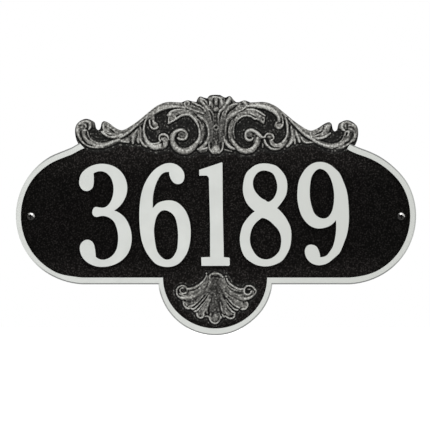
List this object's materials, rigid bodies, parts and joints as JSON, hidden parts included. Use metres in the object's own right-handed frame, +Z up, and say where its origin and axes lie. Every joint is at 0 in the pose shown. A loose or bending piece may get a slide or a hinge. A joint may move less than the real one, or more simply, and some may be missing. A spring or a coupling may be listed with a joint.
{
  "type": "house number plaque",
  "caption": "Cast oval wall plaque with raised border, five raised digits, scrollwork crest and scallop shell, held by two screws.",
  "frame": {"origin": "on the wall plane, half way between the two mounting screws", "axes": "+X to the reader's right, +Y into the wall, +Z up; the numbered face looks to -Y"},
  "size_m": [0.394, 0.0335, 0.2365],
  "materials": {
    "casting": "stippled satin black field, with border, digits and carving in bright and antiqued silver",
    "screws": "bright plated steel"
  },
  "bodies": {
    "root": {"plaque": "casting", "screw_left": "screws", "screw_right": "screws"}
  },
  "joints": []
}
